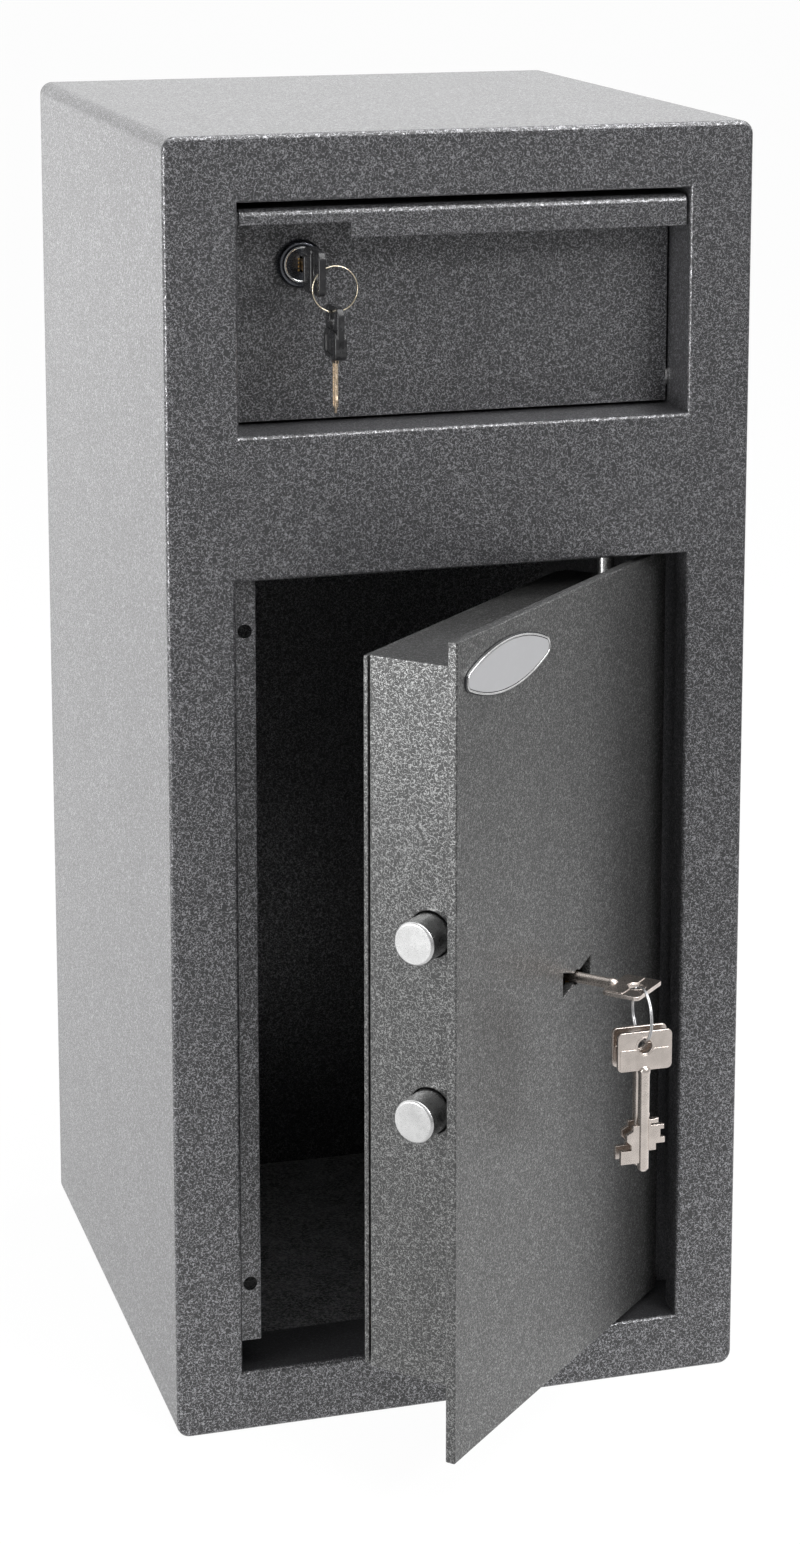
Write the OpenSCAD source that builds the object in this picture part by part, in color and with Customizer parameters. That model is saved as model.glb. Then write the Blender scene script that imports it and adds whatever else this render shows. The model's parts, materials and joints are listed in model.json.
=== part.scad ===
// Deposit safe: a floor safe with a key-locked door and a tilting deposit flap.
// Millimetres, +Z up, front face towards -Y, origin at the centre of the base.

/* [Cabinet] */
// Overall width
cabinet_w = 350; // [350:1:400]
// Overall depth
cabinet_d = 370; // [370:1:450]
// Overall height
cabinet_h = 770; // [770:1:820]
// Wall sheet thickness
wall_t = 3; // [2.5:0.1:3.5]
// Outer radius of the long edges
edge_r = 8; // [6:0.5:9]
// Diameter of the floor fixing holes
fix_hole_d = 12; // [8:0.5:14]
// Floor fixing holes, spacing across
fix_x = 200; // [160:5:220]
// Floor fixing holes, spacing front to back
fix_y = 220; // [180:5:230]

/* [Door opening] */
// Margin left of the door opening
door_margin_l = 40; // [38:0.5:41]
// Margin right of the door opening
door_margin_r = 37.5; // [36.5:0.5:38.5]
// Bottom edge of the door opening
door_z0 = 36.5; // [34:0.5:38]
// Height of the rail between the two openings
rail_h = 84; // [82:0.5:86]
// Depth of the right jamb return
jamb_depth = 14; // [10:0.5:14]
// Depth of the sill
sill_depth = 47; // [44:1:60]
// Keeper flange set-back behind the front face
keeper_back = 9.5; // [9:0.1:9.9]
// Keeper flange reach from the opening edge
keeper_reach = 13.5; // [12:0.1:13.5]
// Keeper sheet thickness
keeper_t = 2.5; // [2:0.1:2.5]

/* [Deposit recess] */
// Margin left of the deposit opening
dep_margin_l = 42.6; // [41:0.1:42.6]
// Margin right of the deposit opening
dep_margin_r = 38.2; // [37:0.1:38.2]
// Margin above the deposit opening
dep_margin_top = 38; // [36:0.5:40]
// Height of the deposit opening
dep_h = 132; // [130:0.5:134]
// Depth of the recess ledge
ledge_depth = 44; // [40:0.5:46]
// Sleeve sheet thickness
sleeve_t = 2.5; // [2:0.1:3]
// Depth of the sleeve behind the front face
sleeve_depth = 147; // [140:1:150]
// Drop from the recess ledge to the front of the chute plate
chute_drop = 10; // [10:0.5:20]
// Chute sheet thickness
chute_t = 2; // [1.5:0.1:2.5]
// Baffle set back from the rear of the sleeve
baffle_in = 10; // [6:0.5:12]
// Free height under the baffle
baffle_up = 50; // [48:0.5:60]
// Depth of the baffle's teeth
tooth_h = 16; // [10:0.5:18]
// Slope of the chute plate in degrees
chute_slope = 15.7; // [12:0.1:18]
// Length of the chute plate
chute_len = 200; // [150:1:210]

/* [Door] */
// Door plate thickness
plate_t = 6; // [5:0.1:6.5]
// Gap between the plate and the opening, free side
gap_free = 4; // [3:0.1:5]
// Gap between the plate and the opening, pivot side
gap_pivot = 8; // [7.5:0.1:9]
// Gap below the plate
gap_below = 4.5; // [4:0.1:6]
// Gap above the plate
gap_above = 4; // [3:0.1:5]
// How far the plate's face sits behind the cabinet's face
plate_inset = 2; // [1.5:0.1:2.5]
// Pan sheet thickness
pan_t = 2; // [1.5:0.1:2.5]
// Pan depth behind the plate's face
pan_depth = 62; // [58:0.5:64]
// Pan set back from the plate's free edge
pan_in_free = 13.7; // [13.5:0.1:15]
// Pan set back from the plate's pivot edge
pan_in_pivot = 11.5; // [11:0.1:14]
// Pan set up from the plate's bottom edge
pan_up = 38; // [36:0.5:39]
// Pan set down from the plate's top edge
pan_down = 17.5; // [17:0.5:20]
// Door opening angle in the rest pose
door_open = 44; // [40:1:50]
// Pivot pin diameter
pin_d = 10; // [8:0.5:10]
// Running gap of the pins, radial
pin_gap = 0.06; // [0.03:0.01:0.1]
// Pivot axis from the opening's right edge
pivot_in = 41.5; // [41:0.1:43]
// Pivot axis behind the plate's face
pivot_back = 24; // [24:0.1:25]

/* [Lock and bolts] */
// Key axis from the plate's free edge
key_s = 146.6; // [140:0.1:150]
// Key axis above the plate's bottom edge
key_up = 238.3; // [230:0.1:242]
// Keyhole width
keyhole_w = 35; // [34:0.1:37]
// Keyhole height at its ends
keyhole_h = 15.4; // [12:0.1:16]
// Locking bolt diameter
bolt_d = 25; // [22:0.5:25]
// Distance between the bolts
bolt_gap_z = 102; // [96:1:104]
// Lower bolt's height above the key axis
bolt_low = -39.7; // [-41:0.1:-38]
// Bolt axis behind the plate's face
bolt_back = 24; // [23:0.1:24.5]
// How far a thrown bolt passes the pan's side
bolt_out = 18.7; // [17:0.1:18.8]
// Bolt travel
bolt_throw = 18; // [16:0.5:18]
// Length of a locking bolt
bolt_len = 76; // [75:0.5:77]
// Clearance round a bolt in its holes, radial
bolt_clear = 0.75; // [0.4:0.05:1]

/* [Main key] */
// Key bow width
bow_w = 33; // [30:0.5:34]
// Key bow length
bow_l = 23.5; // [22:0.5:24]
// Key bow thickness
bow_t = 2.4; // [2:0.1:2.4]
// Hole in the bow
bow_hole_d = 8.6; // [8.4:0.1:9]
// Shank diameter
shank_d = 6.5; // [6:0.1:7]
// Overall key length
key_len = 84.5; // [82:0.5:85]
// How far the key's bow stands out of the door plate
key_out = 47; // [46.5:0.1:48]
// Hole centre from the bow's outer edge
hang_in = 9; // [8.5:0.1:9.5]
// Width over both bits
bit_w = 31; // [29:0.1:31]
// Bit length along the shank
bit_l = 25; // [23:0.5:25]
// Bit thickness
bit_t = 3; // [2.4:0.1:3.2]
// Ring mean radius
ring_r = 15.5; // [15:0.1:16]
// Ring wire diameter
ring_wire = 2; // [1.8:0.1:2]

/* [Badge and screws] */
// Badge half width
badge_a = 49.25; // [40:0.25:52]
// Badge half height
badge_b = 15.3; // [14:0.1:17]
// Radius of the badge's ends
badge_r = 6.5; // [6:0.5:9]
// Badge rim width
badge_rim = 2.6; // [2:0.1:3]
// Badge sheet thickness
badge_t = 1.2; // [1:0.1:1.5]
// Badge centre from the plate's free edge
badge_in = 57.5; // [55:0.5:60]
// Badge centre below the plate's top edge
badge_down = 24.3; // [22:0.1:26]
// Cover screw shank diameter
screw_d = 4; // [3.5:0.1:4.2]
// Cover screw head diameter
screw_head_d = 8; // [7:0.1:9]
// Lower cover screws above the pan's bottom
screw_low = 23; // [22:0.5:26]
// Middle cover screws above the pan's bottom
screw_mid = 139; // [135:1:142]
// Upper cover screws below the pan's top
screw_high = 20; // [18:0.5:24]
// Cover plate thickness
cover_t = 3; // [2:0.1:3.5]
// Gap between the pan and its cover
cover_gap = 1.5; // [1:0.1:2]
// Width of the pan's rear flange
pan_flange = 16; // [14:0.5:18]

/* [Lock case] */
// Lock case depth behind the plate's face
case_depth = 34; // [33.5:0.1:35]
// Lock case wall thickness
case_t = 2; // [1.5:0.1:2.5]
// Lock case reach left of the key axis
case_l = 27.6; // [26:0.1:28]
// Lock case reach right of the key axis
case_r = 38; // [36:0.5:42]
// Lock case reach below the key axis
case_down = 45; // [40:0.5:50]
// Lock case reach above the key axis
case_up = 56; // [52:0.5:60]
// Lever plate thickness
lever_t = 2; // [1.5:0.1:2.2]
// Lever plate pitch
lever_pitch = 4; // [3.6:0.1:4]
// Carriage plate thickness
carriage_t = 5; // [4:0.1:6]
// How far the carriage reaches over the bolts' ends
carriage_lap = 24; // [23:0.5:25]
// Height of the carriage past the bolt axes
carriage_rim = 18; // [17:0.5:18.5]
// Width of the carriage's tongue
tongue_w = 10; // [9:0.5:10]
// How far the tongue reaches into the lock case
tongue_reach = 14; // [13.5:0.1:14.2]
// Guide studs from the bolts' ends
stud_out = 14; // [13.5:0.1:14.5]
// Lower guide stud above the lower bolt
stud_low = 22; // [21.5:0.1:22.5]
// Upper guide stud below the upper bolt
stud_high = 24; // [23.5:0.1:24.5]
// Guide stud diameter
stud_d = 8; // [6:0.1:8.4]
// Slot width in the carriage
slot_w = 9; // [9:0.1:10]

/* [Flap] */
// Flap sheet thickness
flap_t = 2; // [1.5:0.1:2.2]
// Side gap of the flap
flap_gap = 1.5; // [1.2:0.1:2]
// Flap face behind the cabinet's face
flap_back = 34; // [33:0.5:36]
// Bottom edge of the flap above the opening's bottom
flap_up = 2; // [2:0.1:3]
// Top of the lip below the opening's top
lip_down = 4; // [3.5:0.5:6]
// How far the lip stands in front of the flap
lip_out = 31; // [28:0.5:32]
// Height of the lip's wide fold
lip_tall = 18; // [16:0.5:19]
// Height of the lip's narrow fold
lip_low = 9; // [7.5:0.5:10]
// Length of the lip's narrow fold, over the lock
lip_step = 65; // [62:0.5:68]
// Top of the hopper cheeks below the flap's top
cheek_down = 12; // [11:0.5:14]
// Flap pivot above the opening's bottom
flap_pivot_up = 15.5; // [15:0.1:16]
// Flap washer diameter
washer_d = 13.5; // [12:0.1:13.8]
// Flap pivot diameter
flap_pin_d = 8; // [6:0.5:8]
// Hopper floor length
hopper_len = 83; // [75:1:84]
// Slope of the hopper floor in degrees
hopper_slope = 20; // [16:1:22]

/* [Cam lock] */
// Lock axis from the opening's left edge
cam_x_in = 43.9; // [42:0.1:46]
// Lock axis above the opening's bottom
cam_z_up = 92.5; // [91:0.1:93]
// Collar diameter
collar_d = 28; // [27:0.5:30]
// Plug face diameter
plug_d = 21; // [20:0.1:22]
// Threaded body diameter
barrel_d = 19; // [19:0.1:20]
// Plug shaft diameter
plug_shaft_d = 14; // [13:0.1:14.5]
// Running gap of the plug, radial
plug_gap = 0.08; // [0.05:0.01:0.1]
// Cam reach from the lock axis
cam_reach = 35; // [33:0.5:36]

/* [Cam key] */
// Bow length of the cam key
cbow_l = 30; // [28:0.5:30]
// Bow width of the cam key
cbow_w = 25.6; // [24:0.1:25.8]
// Bow thickness of the cam key
cbow_t = 4.2; // [4:0.1:4.3]
// Thickness of the cam key's grip, past its hole
cgrip_t = 7; // [6:0.1:7.2]
// Start of the grip from the bow's outer edge
cgrip_in = 13.5; // [13.5:0.1:15]
// Hole in the cam key's bow
cbow_hole_d = 10; // [10:0.1:11]
// Blade length of the cam key
cblade_l = 31; // [28:0.5:32]
// Cam key ring mean radius
cring_r = 13; // [12.8:0.1:13.2]
// Cam key ring wire diameter
cring_wire = 1.4; // [1.2:0.1:1.5]

/* [Hidden] */
$fn = 96;
front_y = -cabinet_d / 2;
back_y = cabinet_d / 2;
inner_y = front_y + wall_t;
inner_x = cabinet_w / 2 - wall_t;
flat_x = cabinet_w / 2 - edge_r;

door_x0 = door_margin_l - cabinet_w / 2;
door_x1 = cabinet_w / 2 - door_margin_r;
dep_x0 = dep_margin_l - cabinet_w / 2;
dep_x1 = cabinet_w / 2 - dep_margin_r;
dep_z1 = cabinet_h - dep_margin_top;
dep_z0 = dep_z1 - dep_h;
door_z1 = dep_z0 - rail_h;
ledge_y = inner_y + ledge_depth;

plate_x0 = door_x0 + gap_free;
plate_x1 = door_x1 - gap_pivot;
plate_z0 = door_z0 + gap_below;
plate_z1 = door_z1 - gap_above;
plate_y = front_y + plate_inset;
pan_x0 = plate_x0 + pan_in_free;
pan_x1 = plate_x1 - pan_in_pivot;
pan_z0 = plate_z0 + pan_up;
pan_z1 = plate_z1 - pan_down;
pan_y1 = plate_y + pan_depth;
pivot_x = door_x1 - pivot_in;
pivot_y = plate_y + pivot_back;

key_x = plate_x0 + key_s;
key_z = plate_z0 + key_up;
bolt_y = plate_y + bolt_back;
bolt_tip_x = pan_x0 - bolt_out;
bolt_z0 = key_z + bolt_low;
bolt_zs = [bolt_z0, bolt_z0 + bolt_gap_z];
bolt_end_x = bolt_tip_x + bolt_len;
key_bow_y = plate_y - key_out;

flap_y = front_y + flap_back;
flap_x0 = dep_x0 + flap_gap;
flap_x1 = dep_x1 - flap_gap;
flap_z0 = dep_z0 + flap_up;
flap_top = dep_z1 - lip_down;
fp_y = flap_y + flap_t + flap_pin_d / 2 + 0.2;
fp_z = dep_z0 + flap_pivot_up;
sleeve_y1 = front_y + sleeve_depth;
cam_x = dep_x0 + cam_x_in;
cam_z = dep_z0 + cam_z_up;
collar_y = flap_y - 6;
cam_y = flap_y + 20.5;

ring_tilt = 40;
cring_tilt = 45;

// Flat rectangle with round corners.
module round_rect(x0, z0, x1, z1, r) {
  translate([x0 + r, z0]) square([x1 - x0 - 2 * r, z1 - z0]);
  translate([x0, z0 + r]) square([x1 - x0, z1 - z0 - 2 * r]);
  for (x = [x0 + r, x1 - r])
    for (z = [z0 + r, z1 - r])
      translate([x, z]) circle(r);
}

// Turns a flat X-Z outline into a slab between two depths.
module slab(y0, y1) {
  translate([0, y1, 0]) rotate([90, 0, 0]) linear_extrude(height = y1 - y0) children();
}

module block(x0, x1, y0, y1, z0, z1) {
  translate([x0, y0, z0]) cube([x1 - x0, y1 - y0, z1 - z0]);
}

// Rod along Y from y0 to y1.
module rod_y(x, z, y0, y1, d) {
  translate([x, y0, z]) rotate([-90, 0, 0]) cylinder(h = y1 - y0, d = d);
}

// Rod along X from x0 to x1.
module rod_x(y, z, x0, x1, d) {
  translate([x0, y, z]) rotate([0, 90, 0]) cylinder(h = x1 - x0, d = d);
}

// Rod along Z from z0 to z1.
module rod_z(x, y, z0, z1, d) {
  translate([x, y, z0]) cylinder(h = z1 - z0, d = d);
}

// Places a door piece, drawn with the door shut, at the rest angle.
module door_pose() {
  translate([pivot_x, pivot_y, 0]) rotate([0, 0, door_open]) translate([-pivot_x, -pivot_y, 0]) children();
}

module cabinet_wrap() {
  color([0.76, 0.77, 0.77]) difference() {
    slab(inner_y, back_y)
      round_rect(-cabinet_w / 2, 0, cabinet_w / 2, cabinet_h, edge_r);
    slab(inner_y - 1, back_y + 1)
      round_rect(-inner_x, wall_t, inner_x, cabinet_h - wall_t, edge_r - wall_t);
    for (x = [-fix_x / 2, fix_x / 2])
      for (y = [-fix_y / 2, fix_y / 2])
        rod_z(x, y, -1, wall_t + 1, fix_hole_d);
  }
}

module back_plate() {
  color([0.7, 0.71, 0.71]) slab(back_y - 2 * wall_t, back_y - wall_t)
    round_rect(-inner_x, wall_t, inner_x, cabinet_h - wall_t, edge_r - wall_t);
}

module front_panel() {
  color([0.38, 0.39, 0.4]) difference() {
    slab(front_y, inner_y) round_rect(-cabinet_w / 2, 0, cabinet_w / 2, cabinet_h, edge_r);
    block(door_x0, door_x1, front_y - 1, inner_y + 1, door_z0, door_z1);
    block(dep_x0, dep_x1, front_y - 1, inner_y + 1, dep_z0, dep_z1);
  }
}

module jamb_top() {
  color([0.3, 0.31, 0.32])
    block(door_x0 - wall_t, door_x1 + wall_t, inner_y, inner_y + 16, door_z1, door_z1 + wall_t);
}

module jamb_right() {
  color([0.3, 0.31, 0.32])
    block(door_x1, door_x1 + wall_t, inner_y, inner_y + jamb_depth, door_z0, door_z1);
}

module sill() {
  sill_y1 = inner_y + sill_depth;
  color([0.3, 0.31, 0.32]) difference() {
    union() {
      block(-inner_x, inner_x, inner_y, sill_y1, door_z0 - wall_t, door_z0);
      block(-flat_x, flat_x, sill_y1 - wall_t, sill_y1, wall_t, door_z0 - wall_t);
    }
    rod_z(pivot_x, pivot_y, door_z0 - wall_t - 1, door_z0 + 1, pin_d + 6);
  }
}

module bolt_keeper() {
  flange_y = front_y + keeper_back;
  hole_x = door_x0 + 7;
  color([0.33, 0.34, 0.35]) difference() {
    union() {
      block(door_x0 - wall_t, door_x0, inner_y, flange_y + keeper_t, 52, door_z1 - 1);
      block(door_x0 - wall_t, door_x0 + keeper_reach, flange_y, flange_y + keeper_t, 52, door_z1 - 1);
    }
    rod_y(hole_x, door_z1 - 31, flange_y - 1, flange_y + keeper_t + 1, 8);
    rod_y(hole_x, door_z0 + 51.5, flange_y - 1, flange_y + keeper_t + 1, 8);
  }
}

module pivot_bracket() {
  color([0.3, 0.31, 0.32]) difference() {
    block(pivot_x - 30, pivot_x + 30, inner_y, inner_y + 43, door_z1 + wall_t, door_z1 + wall_t + 6);
    rod_z(pivot_x, pivot_y, door_z1, door_z1 + wall_t + 7, pin_d + 6);
  }
}

module pivot_bush_top() {
  z0 = door_z1 + wall_t;
  color([0.72, 0.56, 0.3]) difference() {
    union() {
      rod_z(pivot_x, pivot_y, z0, z0 + 8, pin_d + 6);
      rod_z(pivot_x, pivot_y, z0 + 6, z0 + 8, pin_d + 12);
    }
    rod_z(pivot_x, pivot_y, z0 - 1, z0 + 9, pin_d + 2 * pin_gap);
  }
}

module pivot_bush_bottom() {
  z0 = door_z0 - wall_t;
  color([0.72, 0.56, 0.3]) difference() {
    union() {
      rod_z(pivot_x, pivot_y, z0 - 5, z0 + wall_t, pin_d + 6);
      rod_z(pivot_x, pivot_y, z0 + wall_t, z0 + wall_t + 2, pin_d + 14);
    }
    rod_z(pivot_x, pivot_y, z0 - 6, z0 + wall_t + 3, pin_d + 2 * pin_gap);
  }
}

module deposit_sleeve() {
  color([0.34, 0.35, 0.36]) difference() {
    union() {
      block(dep_x0 - sleeve_t, dep_x0, inner_y, sleeve_y1, dep_z0 - sleeve_t, dep_z1 + sleeve_t);
      block(dep_x1, dep_x1 + sleeve_t, inner_y, sleeve_y1, dep_z0 - sleeve_t, dep_z1 + sleeve_t);
      block(dep_x0 - sleeve_t, dep_x1 + sleeve_t, inner_y, sleeve_y1, dep_z1, dep_z1 + sleeve_t);
      block(dep_x0 - sleeve_t, dep_x1 + sleeve_t, inner_y, ledge_y, dep_z0 - sleeve_t, dep_z0);
    }
    rod_x(fp_y, fp_z, dep_x0 - sleeve_t - 1, dep_x1 + sleeve_t + 1, flap_pin_d + 2 * pin_gap);
  }
}

module fishing_baffle() {
  y0 = sleeve_y1 - baffle_in;
  bottom = dep_z0 + baffle_up;
  teeth = 9;
  pitch = (dep_x1 - dep_x0 - 6) / teeth;
  color([0.34, 0.35, 0.36]) difference() {
    block(dep_x0 + 3, dep_x1 - 3, y0, y0 + sleeve_t, bottom, dep_z1);
    for (i = [0 : teeth - 1])
      translate([dep_x0 + 3 + pitch * (i + 0.5), y0 + sleeve_t + 1, bottom])
        rotate([90, 0, 0]) linear_extrude(height = sleeve_t + 2)
          polygon([[-pitch * 0.4, -1], [pitch * 0.4, -1], [0, tooth_h]]);
  }
}

module chute_plate() {
  color([0.34, 0.35, 0.36])
    translate([-inner_x, ledge_y, dep_z0 - chute_drop]) rotate([-chute_slope, 0, 0])
      translate([0, 0, -chute_t]) cube([2 * inner_x, chute_len, chute_t]);
}

module cam_striker() {
  color([0.4, 0.41, 0.42])
    block(cam_x - 10, cam_x + 10, cam_y - 3.5, cam_y - 1, cam_z + cam_reach - 7, dep_z1);
}

module floor_mat() {
  mat_y0 = inner_y + sill_depth + 1;
  color([0.45, 0.45, 0.46])
    block(1 - flat_x, flat_x - 1, mat_y0, back_y - 2 * wall_t - 1, wall_t, wall_t + 5);
}

module pivot_pins() {
  color([0.7, 0.7, 0.7]) door_pose() {
    rod_z(pivot_x, pivot_y, pan_z1 - pan_t - 24, door_z1 + wall_t + 11, pin_d);
    rod_z(pivot_x, pivot_y, pan_z1 + 0.5, pan_z1 + 5, pin_d + 6);
    rod_z(pivot_x, pivot_y, door_z0 - wall_t - 6, pan_z0 + pan_t + 24, pin_d);
    rod_z(pivot_x, pivot_y, pan_z0 - 5, pan_z0 - 0.5, pin_d + 6);
  }
}

module pivot_blocks() {
  color([0.4, 0.41, 0.42]) door_pose()
    for (z = [pan_z0 + pan_t, pan_z1 - pan_t - 22])
      difference() {
        block(pivot_x - 12, pivot_x + 12, plate_y + plate_t, pivot_y + 12, z, z + 22);
        rod_z(pivot_x, pivot_y, z - 1, z + 23, pin_d + 2 * pin_gap);
      }
}

// Bow-tie outline of the keyhole, in the X-Z plane.
module keyhole_outline() {
  polygon([[-keyhole_w / 2, -keyhole_h / 2], [-4, -3.2], [4, -3.2], [keyhole_w / 2, -keyhole_h / 2],
    [keyhole_w / 2, keyhole_h / 2], [4, 3.2], [-4, 3.2], [-keyhole_w / 2, keyhole_h / 2]]);
  circle(d = shank_d + 2.1);
}

module door_plate() {
  color([0.4, 0.41, 0.42]) door_pose() difference() {
    block(plate_x0, plate_x1, plate_y, plate_y + plate_t, plate_z0, plate_z1);
    translate([key_x, 0, key_z]) slab(plate_y - 1, plate_y + plate_t + 1) keyhole_outline();
  }
}

module door_pan() {
  y0 = plate_y + plate_t;
  color([0.4, 0.41, 0.42]) door_pose() difference() {
    block(pan_x0, pan_x1, y0, pan_y1, pan_z0, pan_z1);
    block(pan_x0 + pan_t, pan_x1 - pan_t, y0 - 1, pan_y1 - pan_t, pan_z0 + pan_t, pan_z1 - pan_t);
    block(pan_x0 + pan_flange + pan_t, pan_x1 - pan_flange - pan_t, y0, pan_y1 + 1,
      pan_z0 + pan_flange + pan_t, pan_z1 - pan_flange - pan_t);
    for (z = bolt_zs)
      rod_x(bolt_y, z, pan_x0 - 1, pan_x0 + pan_t + 1, bolt_d + 2 * bolt_clear);
    rod_z(pivot_x, pivot_y, pan_z0 - 1, pan_z1 + 1, pin_d + 2 * pin_gap);
    for (x = screw_xs)
      for (z = screw_zs)
        rod_y(x, z, pan_y1 - pan_t - 1, pan_y1 + 1, screw_d + 0.5);
  }
}

screw_in = pan_t + pan_flange / 2;
screw_xs = [pan_x0 + screw_in, pan_x1 - screw_in];
screw_zs = [pan_z0 + screw_low, pan_z0 + screw_mid, pan_z1 - screw_high];

module door_back_cover() {
  y0 = pan_y1 + cover_gap;
  color([0.4, 0.41, 0.42]) door_pose() difference() {
    block(pan_x0 + 1, pan_x1 - 1, y0, y0 + cover_t, pan_z0 + 1, pan_z1 - 1);
    for (x = screw_xs)
      for (z = screw_zs)
        rod_y(x, z, y0 - 1, y0 + cover_t + 1, screw_d + 0.5);
  }
}

module cover_screws() {
  y1 = pan_y1 + cover_gap + cover_t;
  head_h = screw_head_d * 0.32;
  color([0.75, 0.6, 0.32]) door_pose()
    for (x = screw_xs)
      for (z = screw_zs) {
        rod_y(x, z, pan_y1 - pan_t - screw_d, y1 + 1, screw_d);
        rod_y(x, z, pan_y1, pan_y1 + cover_gap, screw_head_d + 1);
        difference() {
          rod_y(x, z, y1, y1 + head_h, screw_head_d);
          block(x - screw_head_d, x + screw_head_d, y1 + head_h - 1, y1 + head_h + 1, z - 0.6, z + 0.6);
        }
      }
}

// Oval of four arcs that meet smoothly: half width a, half height b, end radius r.
module badge_outline(a, b, r) {
  k = ((a - r) * (a - r) - (b - r) * (b - r)) / (2 * (b - r));
  big = k + b;
  meet_x = big * (a - r) / (big - r);
  intersection() {
    translate([0, -k]) circle(big);
    translate([0, k]) circle(big);
    square([2 * meet_x, 2 * b], center = true);
  }
  for (s = [-1, 1])
    translate([s * (a - r), 0]) circle(r);
}

module badge_plate() {
  x = plate_x0 + badge_in;
  z = plate_z1 - badge_down;
  face_y = plate_y - badge_t;
  color([0.8, 0.8, 0.81]) door_pose() translate([x, 0, z]) {
    slab(face_y, plate_y) badge_outline(badge_a, badge_b, badge_r);
    slab(face_y - 0.6, face_y) badge_outline(badge_a - badge_rim, badge_b - badge_rim, badge_r - badge_rim);
  }
}

case_x0 = key_x - case_l;
case_x1 = key_x + case_r;
case_z0 = key_z - case_down;
case_z1 = key_z + case_up;
case_y0 = plate_y + plate_t;
case_y1 = plate_y + case_depth;
tongue_y0 = case_y1 - 7;
tongue_y1 = case_y1 - 2;
tongue_z0 = key_z - 8;
tongue_z1 = key_z + 7;

module lock_case() {
  color([0.55, 0.56, 0.57]) door_pose() difference() {
    block(case_x0, case_x1, case_y0, case_y1, case_z0, case_z1);
    block(case_x0 + case_t, case_x1 - case_t, case_y0 - 1, case_y1 + 1, case_z0 + case_t, case_z1 - case_t);
    block(case_x0 - 1, case_x0 + case_t + 1, tongue_y0 - 2, case_y1 + 1, tongue_z0 - 2, tongue_z1 + 2);
  }
}

module lock_cover() {
  color([0.6, 0.61, 0.62]) door_pose() difference() {
    block(case_x0, case_x1, case_y1, case_y1 + case_t, case_z0, case_z1);
    rod_y(key_x, key_z, case_y1 - 1, case_y1 + case_t + 1, shank_d + 2 * pin_gap);
  }
}

module lever_pack() {
  post_x = case_x1 - 12;
  post_z = case_z1 - 16;
  post_d = 7;
  color([0.74, 0.6, 0.34]) door_pose() {
    for (i = [0 : 5])
      let (y = case_y0 + 3 + lever_pitch * i)
        difference() {
          block(key_x - bit_w / 2 + 1.5, case_x1 - case_t - 1, y, y + lever_t, key_z - bit_w / 2 - 8,
            case_z1 - case_t - 2);
          rod_y(key_x, key_z, y - 1, y + lever_t + 1, bit_w + 5);
        }
    rod_y(post_x, post_z, case_y0, case_y1, post_d);
  }
}

carriage_y0 = bolt_y + bolt_d / 2 + 0.5;
carriage_y1 = carriage_y0 + carriage_t;
stud_x = bolt_end_x + stud_out;
stud_zs = [bolt_z0 + stud_low, bolt_z0 + bolt_gap_z - stud_high];

module bolt_carriage() {
  x0 = bolt_end_x - carriage_lap;
  x1 = case_x0 - bolt_throw - 4.4;
  color([0.6, 0.6, 0.6]) door_pose() {
    difference() {
      block(x0, x1, carriage_y0, carriage_y1,
        bolt_z0 - carriage_rim, bolt_z0 + bolt_gap_z + carriage_rim);
      for (z = stud_zs) {
        block(stud_x - bolt_throw, stud_x, carriage_y0 - 1, carriage_y1 + 1, z - slot_w / 2, z + slot_w / 2);
        for (x = [stud_x - bolt_throw, stud_x])
          rod_y(x, z, carriage_y0 - 1, carriage_y1 + 1, slot_w);
      }
    }
    block(x1 - tongue_w, x1, tongue_y0, carriage_y0, tongue_z0, tongue_z1);
    block(x1 - tongue_w, x1 + tongue_reach, tongue_y0, tongue_y1, tongue_z0, tongue_z1);
    for (z = bolt_zs) block(bolt_end_x - 12, bolt_end_x - 4, bolt_y, carriage_y0, z - 4, z + 4);
  }
}

module locking_bolts() {
  color([0.8, 0.8, 0.8]) door_pose()
    for (z = bolt_zs)
      difference() {
        union() {
          rod_x(bolt_y, z, bolt_tip_x + 1.2, bolt_end_x, bolt_d);
          translate([bolt_tip_x, bolt_y, z]) rotate([0, 90, 0])
            cylinder(h = 1.2, d1 = bolt_d - 2.4, d2 = bolt_d);
        }
        block(bolt_end_x - 12, bolt_end_x - 4, bolt_y, carriage_y0, z - 4, z + 4);
      }
}

module carriage_studs() {
  color([0.7, 0.7, 0.7]) door_pose()
    for (z = stud_zs) {
      rod_y(stud_x, z, plate_y + plate_t, carriage_y1 + 0.6, stud_d);
      rod_y(stud_x, z, plate_y + plate_t, carriage_y0 - 0.6, stud_d + 5);
      rod_y(stud_x, z, carriage_y1 + 0.6, carriage_y1 + 3.6, stud_d + 6);
    }
}

module bolt_guide() {
  x = pan_x0 + 20;
  color([0.5, 0.51, 0.52]) door_pose() difference() {
    union() {
      block(x, x + 2.5, plate_y + plate_t, carriage_y0 - 0.4, bolt_z0 - 20, bolt_z0 + bolt_gap_z + 20);
      block(x - 12, x, plate_y + plate_t, plate_y + plate_t + 2.5, bolt_z0 + 20,
        bolt_z0 + bolt_gap_z - 20);
    }
    for (z = bolt_zs) rod_x(bolt_y, z, x - 1, x + 4, bolt_d + 2 * bolt_clear);
  }
}

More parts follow.
